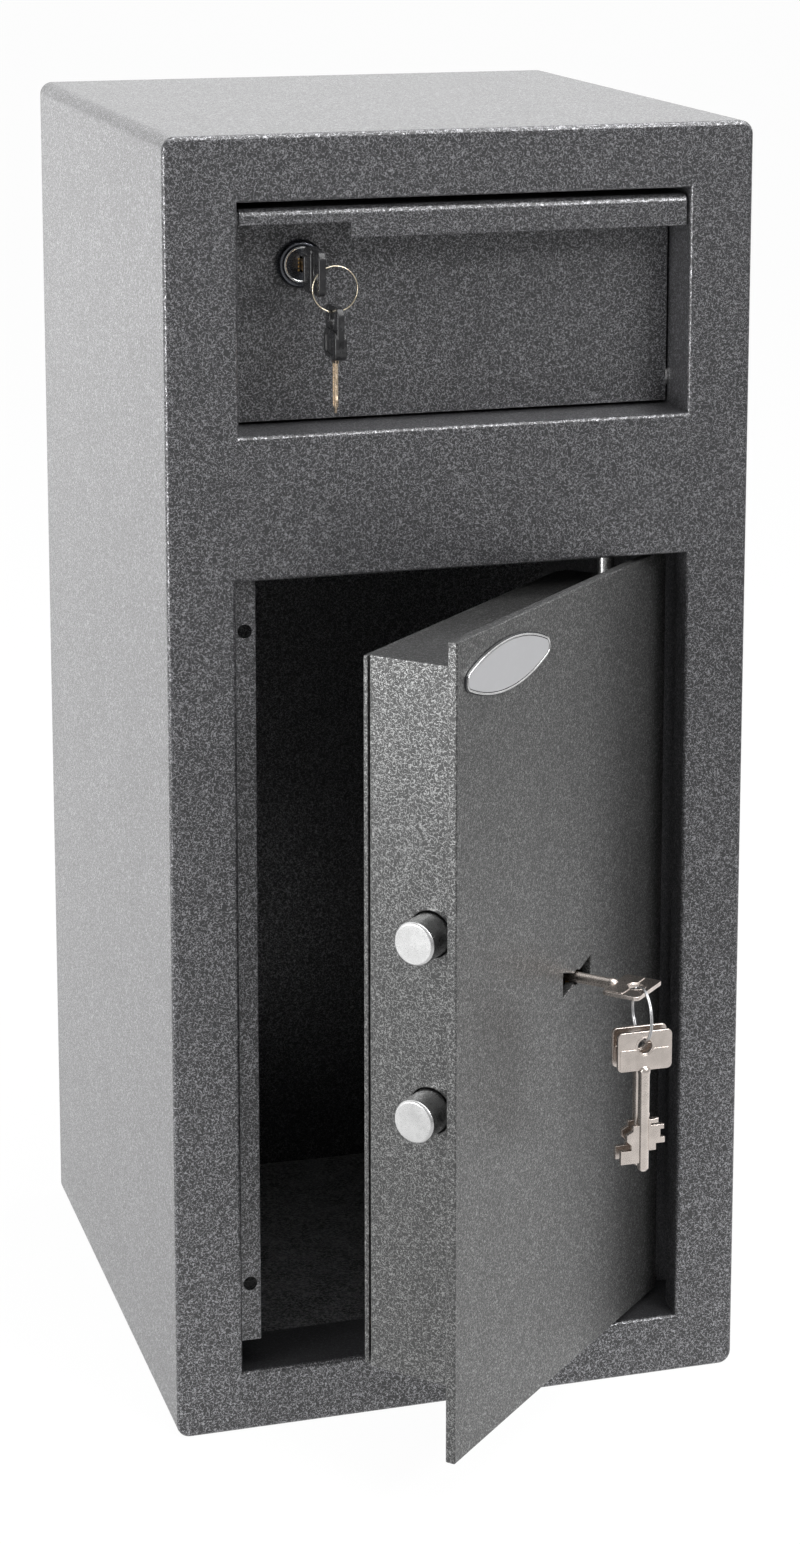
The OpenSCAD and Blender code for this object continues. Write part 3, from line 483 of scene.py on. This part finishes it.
def oval(a, b, r, steps=24):
    """Oval of four arcs that meet smoothly: half width a, half height b, end radius r."""
    k = ((a - r) ** 2 - (b - r) ** 2) / (2 * (b - r))
    big = k + b
    swing = math.atan2(a - r, k)
    points = []
    for i in range(steps + 1):
        t = swing - 2 * swing * i / steps
        points.append((big * math.sin(t), -k + big * math.cos(t)))
    for i in range(1, steps):
        t = -swing - (math.pi - 2 * swing) * i / steps
        points.append((-(a - r) + r * math.sin(t), r * math.cos(t)))
    return points + [(-x, -y) for x, y in points]


BADGE_END_R = 6.5 * MM
BADGE_BASE_T = 0.7 * MM
# How far in from the badge's edge the rim begins and ends, where the face begins, how low it lies
BADGE_RIM_OUT, BADGE_RIM_IN = 0.7 * MM, 1.9 * MM
BADGE_FACE_OUT, BADGE_FACE_SUNK = 2.3 * MM, 0.35 * MM


def make_badge():
    """A bare oval plate: a black base whose edge round the rim is painted shadow, a bright rim and a matte light
    grey face.
    """
    low, high = door_box("badge_plate")
    a = (high.x - low.x) / 2
    b = (high.z - low.z) / 2
    centre = Vector(((low.x + high.x) / 2, high.y, (low.z + high.z) / 2))
    upright = Matrix.Rotation(math.pi / 2, 4, "X")
    seat = DOOR @ Matrix.Translation(centre) @ upright
    thick = high.y - low.y

    def layer(name, insets, depth, edge, material, *nodes):
        loops = [oval(a - inset, b - inset, BADGE_END_R - inset) for inset in insets]
        work = placed(plate(loops, depth, edge, depth / 2), seat)
        return add_piece(mesh_object(work, name), material, "badge", "door", *nodes)

    face_t = thick - BADGE_FACE_SUNK
    # The base is black so that its edge round the rim shows as a painted shadow
    layer("badge_base", [0.0], BADGE_BASE_T, 0.2 * MM, BADGE_SHADOW_BLACK, "badge_plate")
    layer("badge_rim", [BADGE_RIM_OUT, BADGE_RIM_IN], thick, 0.35 * MM, CHROME)
    layer("badge_face", [BADGE_FACE_OUT], face_t, 0.1 * MM, BADGE_FACE)


# Safe keys

BOW_W, BOW_L, BOW_T = 33 * MM, 23.5 * MM, 2.4 * MM
HOLE_Y, HOLE_R = 9 * MM, 4.3 * MM
BIT_T = 3 * MM
# The raised boss round the bow's hole: its inner and outer wall and its rise
BOSS_IN, BOSS_OUT, BOSS_RISE = 0.5 * MM, 1.5 * MM, 0.4 * MM
# The raised panel of the bow: its inset, its rise, and how it clears the hole
PANEL_INSET, PANEL_RISE, PANEL_STEP, PANEL_CLEAR = 1.3 * MM, 0.8 * MM, 1.4 * MM, 1.1 * MM
# The turned shank with its hollow tip, as (radius, place along the key) in mm
SHANK = [
    (0.0, 20.4), (1.5, 20.7), (2.7, 21.6), (3.6, 23.2), (3.6, 25.0), (3.25, 26.0), (3.25, 83.2),
    (2.15, 84.5), (1.3, 84.5), (1.2, 83.0), (0.0, 83.0),
]
# Right side of the bits, then the left side back, as (half width, place along the key) in mm
BITS = [
    (2.6, 53.6), (6.8, 53.6), (6.8, 55.6), (4.2, 55.6), (4.2, 57.2), (12.2, 57.2), (12.2, 60.0),
    (10.0, 60.0), (10.0, 65.0), (12.8, 65.0), (12.8, 68.4), (7.4, 68.4), (7.4, 72.4), (2.6, 72.4),
    (2.6, 79.5), (-14.0, 79.5), (-14.0, 71.6), (-7.6, 71.6), (-7.6, 68.4), (-10.4, 65.8),
    (-10.4, 62.2), (-6.6, 60.0), (-6.6, 56.8), (-2.6, 56.8), (-2.6, 53.6),
]


def safe_key():
    """Double-bit key along +Y with its bow flat in X-Y and the bow's outer edge at y = 0."""
    outline = strip(BOW_W / 2, 0.0, BOW_L, radius=3 * MM)
    bow = plate([outline, circle(HOLE_Y, HOLE_R)], BOW_T, edge=0.45 * MM)
    rims = [circle(HOLE_Y, HOLE_R + BOSS_OUT), circle(HOLE_Y, HOLE_R + BOSS_IN)]
    boss = plate(rims, BOW_T + BOSS_RISE, edge=0.2 * MM)
    top, bottom = BOW_L - PANEL_INSET, HOLE_Y + PANEL_STEP
    outline = strip(BOW_W / 2 - PANEL_INSET, bottom, top, radius=1.2 * MM, steps=3)
    reach = HOLE_R + PANEL_CLEAR
    start = math.asin(PANEL_STEP / reach)
    steps = 16
    notch = [start + (math.pi - 2 * start) * i / steps for i in range(steps + 1)]
    outline += [(-reach * math.cos(a), HOLE_Y + reach * math.sin(a)) for a in notch]
    panel = plate([outline], BOW_T + PANEL_RISE, edge=0.3 * MM)
    shank = lathe([(radius * MM, y * MM) for radius, y in SHANK], steps=40)
    bits = plate([[(x * MM, y * MM) for x, y in BITS]], BIT_T, edge=0.25 * MM)
    return join(bow, boss, panel, shank, bits)


def make_safe_keys():
    hinge = Vector(JOINT["key_turn"]["pos_m"])
    reach = max((v.co - hinge).dot(OUTWARD) for v in CAD["main_key"].data.vertices)
    seat = Matrix.Translation(hinge + OUTWARD * reach) @ Matrix.Rotation(DOOR_OPEN, 4, "Z")
    key = mesh_object(placed(safe_key(), seat), "key_in_door")
    add_piece(key, NICKEL, "key_nickel", "key_in_lock", "main_key")
    for node in ("spare_main_key_front", "spare_main_key_back"):
        low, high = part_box(node)
        top = Vector(((low.x + high.x) / 2, (low.y + high.y) / 2, high.z))
        seat = Matrix.Translation(top) @ Matrix.Rotation(-math.pi / 2, 4, "X")
        key = mesh_object(placed(safe_key(), seat), node.replace("spare_main", "hung"))
        add_piece(key, NICKEL, "key_nickel", BODY_OF[node], node)


RING_TURNS, RING_STEPS, RING_START = 1.93, 72, 0.6
# How fast the wire crosses from one turn to the next, and how far the two turns press together
RING_CROSSING, RING_PRESS = 3.2, 1.02


def make_ring(node, name, normal, material):
    """Split ring whose axis is X or Y, normal 0 or 1: two turns of wire side by side."""
    low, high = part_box(node)
    centre = (low + high) / 2
    spans = high - low
    wire = spans[normal]
    radius = (spans.z - wire) / 2
    half = wire / 4
    points = []
    for i in range(round(RING_STEPS * RING_TURNS) + 1):
        a = 2 * math.pi * i / RING_STEPS + RING_START
        crossing = (i / RING_STEPS - RING_TURNS / 2) * RING_CROSSING
        place = [radius * math.sin(a), radius * math.cos(a)]
        place.insert(normal, half * max(-1.0, min(1.0, crossing)))
        points.append(centre + Vector(place))
    work = tube(points, half * RING_PRESS)
    add_piece(mesh_object(work, name), material, "plated_steel", BODY_OF[node], node)


# Flap and cam lock

LIP_EDGE, LIP_STEPS = 4.6 * MM, 6
FLAP_EDGE, WASHER_EDGE = 0.5 * MM, 0.25 * MM
FLAP_T = 2 * MM


def make_flap():
    low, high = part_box("flap_panel")

    def lip_top(*points):
        return all(p.y < low.y + TOUCH and p.z > high.z - TOUCH for p in points)

    def others(*points):
        return not lip_top(*points) and all(p.y < low.y + FLAP_T + TOUCH for p in points)

    rest = (others, FLAP_EDGE)
    dress("flap_panel", GREY_HAMMER, "grey_hammer", LIP_EDGE, LIP_STEPS, lip_top, rest)
    dress("flap_washers", TURNED_STEEL, "plated_steel", WASHER_EDGE)
    repaint(GREY_HAMMER, "hopper_cheeks", "hopper_floor")
    repaint(TURNED_STEEL, "flap_pivots")


CAM_X, CAM_Z = (JOINT["cam_turn"]["pos_m"][i] for i in (0, 2))
# The collar's front, as (in from its outside, back from its face) in mm
COLLAR = [(0.0, 2.2), (0.4, 1.3), (1.3, 0.3), (1.9, 0.0)]
# The plug's bright rim, as (in from its outside, back from its front) in mm
PLUG_RIM = [(0.0, 0.5), (0.25, 0.1), (0.7, 0.0), (1.1, 0.15), (1.3, 0.9)]
# The gap round the plug, the collar's flared throat in front of it, and where the plug's rim ends
PLUG_GAP, THROAT_W, THROAT_T, PLUG_BACK = 0.1 * MM, 0.9 * MM, 0.7 * MM, 0.4 * MM
PLUG_SHAFT_R = 7 * MM
PLUG_FACE_IN, PLUG_FACE_SUNK, PLUG_FACE_T = 1.25 * MM, 0.9 * MM, 1.0 * MM
KEYWAY_W, KEYWAY_H = 1.5 * MM, 4.6 * MM
WARD_X, WARD_PITCH, WARD_ROWS = 1.9 * MM, 2.1 * MM, 4
WARD_W, WARD_H, WARD_T, WARD_SUNK = 0.45 * MM, 0.55 * MM, 1.3 * MM, 0.85 * MM


def make_cam_lock():
    low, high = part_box("cam_lock_collar")
    face, back = low.y, high.y
    outer = (high.x - low.x) / 2
    plug_low, plug_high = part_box("cam_lock_plug")
    plug = (plug_high.x - plug_low.x) / 2
    front = plug_low.y
    seat = Matrix.Translation((CAM_X, 0.0, CAM_Z))
    upright = Matrix.Rotation(math.pi / 2, 4, "X")

    bore = plug + PLUG_GAP
    turned = [(outer - inward * MM, face + behind * MM) for inward, behind in COLLAR]
    hollow = [(plug + THROAT_W, face), (bore, face + THROAT_T), (bore, back)]
    collar = placed(lathe([(bore, back), (outer, back)] + turned + hollow), seat)
    collar = mesh_object(collar, "lock_collar")
    add_piece(collar, DARK_NICKEL, "black_moulding", "flap", "cam_lock_collar")

    turned = [(plug - inward * MM, front + behind * MM) for inward, behind in PLUG_RIM]
    shaft = [(PLUG_SHAFT_R, front + PLUG_FACE_SUNK), (PLUG_SHAFT_R, plug_high.y)]
    shaft += [(0.0, plug_high.y), (0.0, back)]
    wall = (plug, back - PLUG_BACK)
    rim = mesh_object(placed(lathe([wall] + turned + shaft + [wall]), seat), "plug_rim")
    add_piece(rim, CHROME, "key_nickel", "cam_plug", "cam_lock_plug")

    keyway = strip(KEYWAY_W, -KEYWAY_H, KEYWAY_H, radius=0.5 * MM, steps=3)
    outline = circle(0.0, plug - PLUG_FACE_IN, steps=48)
    disc = plate([outline, keyway], PLUG_FACE_T, edge=0.15 * MM)
    disc = placed(disc, seat @ Matrix.Translation((0.0, front + PLUG_FACE_SUNK, 0.0)) @ upright)
    add_piece(mesh_object(disc, "plug_face"), DARK_NICKEL, "black_moulding", "cam_plug")

    wards = []
    for x in (-WARD_X, WARD_X):
        for k in range(WARD_ROWS):
            z = (k - (WARD_ROWS - 1) / 2) * WARD_PITCH
            corners = (x - WARD_W, z - WARD_H, x + WARD_W, z + WARD_H)
            block = rounded_rect(*corners, radius=0.2 * MM, steps=2)
            wards.append(plate([block], WARD_T, edge=0.1 * MM))
    wards = join(*wards)
    wards = placed(wards, seat @ Matrix.Translation((0.0, front + WARD_SUNK, 0.0)) @ upright)
    add_piece(mesh_object(wards, "plug_wards"), BRASS, "brass", "cam_plug")

    repaint(PLATED_STEEL, "cam_lock_body", "cam_lock_nut", "lock_cam", "cam_screw")


# Small keys

EYE_W, EYE_T, BOW_END = 25.6 * MM, 4.2 * MM, 30 * MM
EYE_HOLE_Y, EYE_HOLE_R = 7.5 * MM, 5 * MM
GRIP_IN, GRIP_T, GRIP_R = 13.5 * MM, 7 * MM, 5 * MM
# The sunk panel, the floor under it and the rib on that floor: half widths, how far in from the
# grip's ends, and how much thinner than the grip
SUNK_W, FLOOR_W, RIB_W = 8 * MM, 9 * MM, 0.7 * MM
SUNK_IN, FLOOR_IN, RIB_IN = 3 * MM, 2 * MM, 4.5 * MM
FLOOR_LOW, RIB_LOW = 1.6 * MM, 0.7 * MM
BLADE_IN, BLADE_OUT, BLADE_W, TIP_W = 28 * MM, 61 * MM, 4 * MM, 0.8 * MM
BLADE_T, RAIL_T = 1.1 * MM, 2.0 * MM
# Depths of the cuts in mm, and where along a pitch each cut begins and ends
CUT_DEPTHS = [0.2, 1.1, 0.5, 1.4, 0.8, 1.2, 0.3]
CUT_START, CUT_PITCH, CUT_IN, CUT_OUT = 6 * MM, 3.1 * MM, 0.5 * MM, 1.6 * MM
RAIL_X, RAIL_W, RAIL_SHORT = (-2.6 * MM, 1.2 * MM), 1.4 * MM, 3.5 * MM


def small_key_bow():
    """Moulded bow along +Y, flat in X-Y: a thin eye and a thicker grip with a sunk panel."""
    outline = strip(EYE_W / 2, 0.0, BLADE_IN, GRIP_R)
    eye = plate([outline, circle(EYE_HOLE_Y, EYE_HOLE_R)], EYE_T, edge=0.7 * MM)
    outline = strip(EYE_W / 2, GRIP_IN, BOW_END, GRIP_R)
    sunk = strip(SUNK_W, GRIP_IN + SUNK_IN, BOW_END - SUNK_IN, radius=1.5 * MM, steps=4)
    grip = plate([outline, sunk], GRIP_T, edge=0.9 * MM)
    outline = strip(FLOOR_W, GRIP_IN + FLOOR_IN, BOW_END - FLOOR_IN, radius=2 * MM, steps=4)
    floor = plate([outline], GRIP_T - FLOOR_LOW, edge=0.2 * MM)
    outline = strip(RIB_W, GRIP_IN + RIB_IN, BOW_END - RIB_IN, radius=0.4 * MM, steps=3)
    rib = plate([outline], GRIP_T - RIB_LOW, edge=0.2 * MM)
    return join(eye, grip, floor, rib)


def small_key_blade():
    """Flat cut blade with a milled groove down each side."""
    start = BLADE_IN + CUT_START
    cuts = []
    for i, depth in enumerate(CUT_DEPTHS):
        y = start + CUT_PITCH * i
        x = BLADE_W - depth * MM
        cuts += [(x, y + CUT_IN), (x, y + CUT_OUT)]
    right = [(BLADE_W, BLADE_IN), (BLADE_W, start - 1 * MM)] + cuts + [(TIP_W, BLADE_OUT)]
    left = [(-x, y) for x, y in reversed(right)]
    core = plate([right + left], BLADE_T, edge=0.12 * MM)
    outline = strip(BLADE_W, BLADE_IN, start - 1.2 * MM, radius=0.5 * MM, steps=3)
    shoulder = plate([outline], RAIL_T, edge=0.2 * MM)
    rails = []
    for x in RAIL_X:
        corners = (x, BLADE_IN, x + RAIL_W, BLADE_OUT - RAIL_SHORT)
        rail = rounded_rect(*corners, radius=0.3 * MM, steps=2)
        rails.append(plate([rail], RAIL_T, edge=0.2 * MM))
    return join(core, shoulder, *rails)


def make_small_keys():
    """The key in the plug, and the one that hangs from its ring."""
    on_edge = Matrix.Rotation(-math.pi / 2, 4, "Y")
    hang = Matrix.Rotation(-math.pi / 2, 4, "X")
    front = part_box("cam_key")[0].y
    in_lock = Matrix.Translation((CAM_X, front, CAM_Z)) @ on_edge
    low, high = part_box("spare_cam_key")
    top = Vector(((low.x + high.x) / 2, (low.y + high.y) / 2, high.z))
    hung = Matrix.Translation(top) @ hang @ on_edge
    pairs = [("cam_key", in_lock, "small_key"), ("spare_cam_key", hung, "hung_small_key")]
    for node, seat, name in pairs:
        body = BODY_OF[node]
        bow = mesh_object(placed(small_key_bow(), seat), name + "_bow")
        add_piece(bow, BLACK, "black_moulding", body, node)
        blade = mesh_object(placed(small_key_blade(), seat), name + "_blade")
        add_piece(blade, BLADE_BRASS, "key_nickel", body)


# Studio

# Strength of the backdrop in reflections, in front of the safe and behind it
FRONT_GLOW, BACK_GLOW = 0.5, 1.5
# How that glow fades on the floor, as (axis, from, to, first, last), with places in metres
FLOOR_FADES = [
    ("Y", -2.0, 1.1, FRONT_GLOW, BACK_GLOW),
    ("Y", 0.6, 5.0, 0.97, 1.22),
    ("X", 0.5, 1.6, 1.0, 0.44),
]
SKY_FADE = ("Y", -0.4, 0.5, FRONT_GLOW, BACK_GLOW)
WORLD_LIGHT = 0.28
# What the camera sees of the floor: its own shade, and over it this share of an even white
FLOOR_WHITE, FLOOR_WHITE_SHARE = 1.03, 0.93
FLOOR_SIZE = 40.0
AIM = (0.0, 0.0, 0.4)
# Name, place, size and watts
LAMPS = [
    ("top_light", (0.5, -0.5, 2.3), (2.2, 1.8), 46.0),
    ("front_light", (1.5, -2.4, 2.1), (1.5, 0.6), 47.0),
    ("left_light", (-2.1, -1.0, 0.75), (0.8, 1.5), 36.0),
]
# The camera's place, and how far it looks down and to the right
CAMERA_PLACE = (-0.5662, -1.9824, 0.9568)
CAMERA_DOWN, CAMERA_RIGHT = math.radians(10.32), math.radians(16.36)
# Focal length and frame height in pixels, sensor in mm, shift as a share of the frame
FOCAL_PX, FRAME_H = 3350.0, 1544.0
SENSOR = 36.0
SHIFT = -0.24


def emission(tree, value):
    """White glow whose strength is a number or comes from a socket."""
    glow = tree.nodes.new("ShaderNodeEmission")
    if isinstance(value, bpy.types.NodeSocket):
        tree.links.new(value, glow.inputs["Strength"])
    else:
        glow.inputs["Strength"].default_value = value
    return glow.outputs[0]


def choose(tree, factor, a, b):
    """Mix of two shaders: a where the factor is 0, b where it is 1."""
    both = tree.nodes.new("ShaderNodeMixShader")
    for socket, source in zip(both.inputs, (factor, a, b)):
        if isinstance(source, bpy.types.NodeSocket):
            tree.links.new(source, socket)
        else:
            socket.default_value = source
    return both.outputs[0]


def fade(tree, place, axis, start, stop, first, last):
    """Value that goes from first to last along an axis, as in an unevenly lit studio."""
    parts = tree.nodes.new("ShaderNodeSeparateXYZ")
    tree.links.new(place, parts.inputs[0])
    ramp = tree.nodes.new("ShaderNodeMapRange")
    ramp.interpolation_type = "SMOOTHSTEP"
    tree.links.new(parts.outputs[axis], ramp.inputs["Value"])
    limits = {"From Min": start, "From Max": stop, "To Min": first, "To Max": last}
    for name, value in limits.items():
        ramp.inputs[name].default_value = value
    return ramp.outputs[0]


def make_floor():
    """Pale floor that shows white to the camera, with a faint shadow under the safe."""
    work = bmesh.new()
    bmesh.ops.create_grid(work, x_segments=1, y_segments=1, size=FLOOR_SIZE)
    floor = mesh_object(work, "studio_floor")
    paint = Paint("studio_white", (0.9, 0.9, 0.9), 0.9)
    tint = paint.noise(2.0)
    paint.set("Base Color", paint.mix(tint, (0.88, 0.88, 0.88), (0.92, 0.92, 0.92)))
    tree = paint.tree
    diffuse = paint.shader.outputs[0]
    rays = paint.node("ShaderNodeLightPath").outputs
    glow = 1.0
    for limits in FLOOR_FADES:
        glow = paint.math("MULTIPLY", fade(tree, paint.place, *limits), glow)
    plain = choose(tree, FLOOR_WHITE_SHARE, diffuse, emission(tree, FLOOR_WHITE))
    seen = choose(tree, rays["Is Glossy Ray"], diffuse, emission(tree, glow))
    seen = choose(tree, rays["Is Camera Ray"], seen, plain)
    target = next(n for n in tree.nodes if n.type == "OUTPUT_MATERIAL")
    tree.links.new(seen, target.inputs["Surface"])
    floor.data.materials.append(paint.material)


def make_world():
    """White behind the object, a bright backdrop in its reflections, and dim light all round."""
    world = bpy.data.worlds.new("studio")
    bpy.context.scene.world = world
    world.use_nodes = True
    tree = world.node_tree
    rays = tree.nodes.new("ShaderNodeLightPath").outputs
    place = tree.nodes.new("ShaderNodeTexCoord").outputs["Generated"]
    lit = emission(tree, fade(tree, place, *SKY_FADE))
    seen = choose(tree, rays["Is Glossy Ray"], emission(tree, WORLD_LIGHT), lit)
    seen = choose(tree, rays["Is Camera Ray"], seen, emission(tree, 1.0))
    tree.links.new(seen, tree.nodes["World Output"].inputs["Surface"])


def softbox(name, place, size, watts):
    """Rectangular lamp aimed at the middle of the safe."""
    data = bpy.data.lights.new(name, "AREA")
    data.shape = "RECTANGLE"
    data.size, data.size_y = size
    data.energy = watts
    lamp = bpy.data.objects.new(name, data)
    bpy.context.scene.collection.objects.link(lamp)
    lamp.location = place
    lamp.rotation_euler = (Vector(AIM) - Vector(place)).to_track_quat("-Z", "Y").to_euler()


def make_camera():
    """The photograph's view: a long lens from the front left, looking slightly down."""
    data = bpy.data.cameras.new("camera")
    data.sensor_width = SENSOR
    data.lens = FOCAL_PX * SENSOR / FRAME_H
    data.shift_y = SHIFT
    data.clip_end = 200.0
    camera = bpy.data.objects.new("camera", data)
    bpy.context.scene.collection.objects.link(camera)
    camera.location = CAMERA_PLACE
    camera.rotation_euler = (math.pi / 2 - CAMERA_DOWN, 0.0, -CAMERA_RIGHT)
    bpy.context.scene.camera = camera


def make_studio():
    make_camera()
    make_floor()
    make_world()
    for lamp in LAMPS:
        softbox(*lamp)
    bpy.context.scene.view_settings.view_transform = "Standard"


make_studio()
make_cabinet()
make_carpet()
make_door()
make_badge()
make_safe_keys()
make_ring("main_key_ring", "key_ring_wire", 0, PLATED_STEEL)
make_flap()
make_cam_lock()
make_small_keys()
make_ring("cam_key_ring", "small_ring_wire", 1, RING_BRASS)
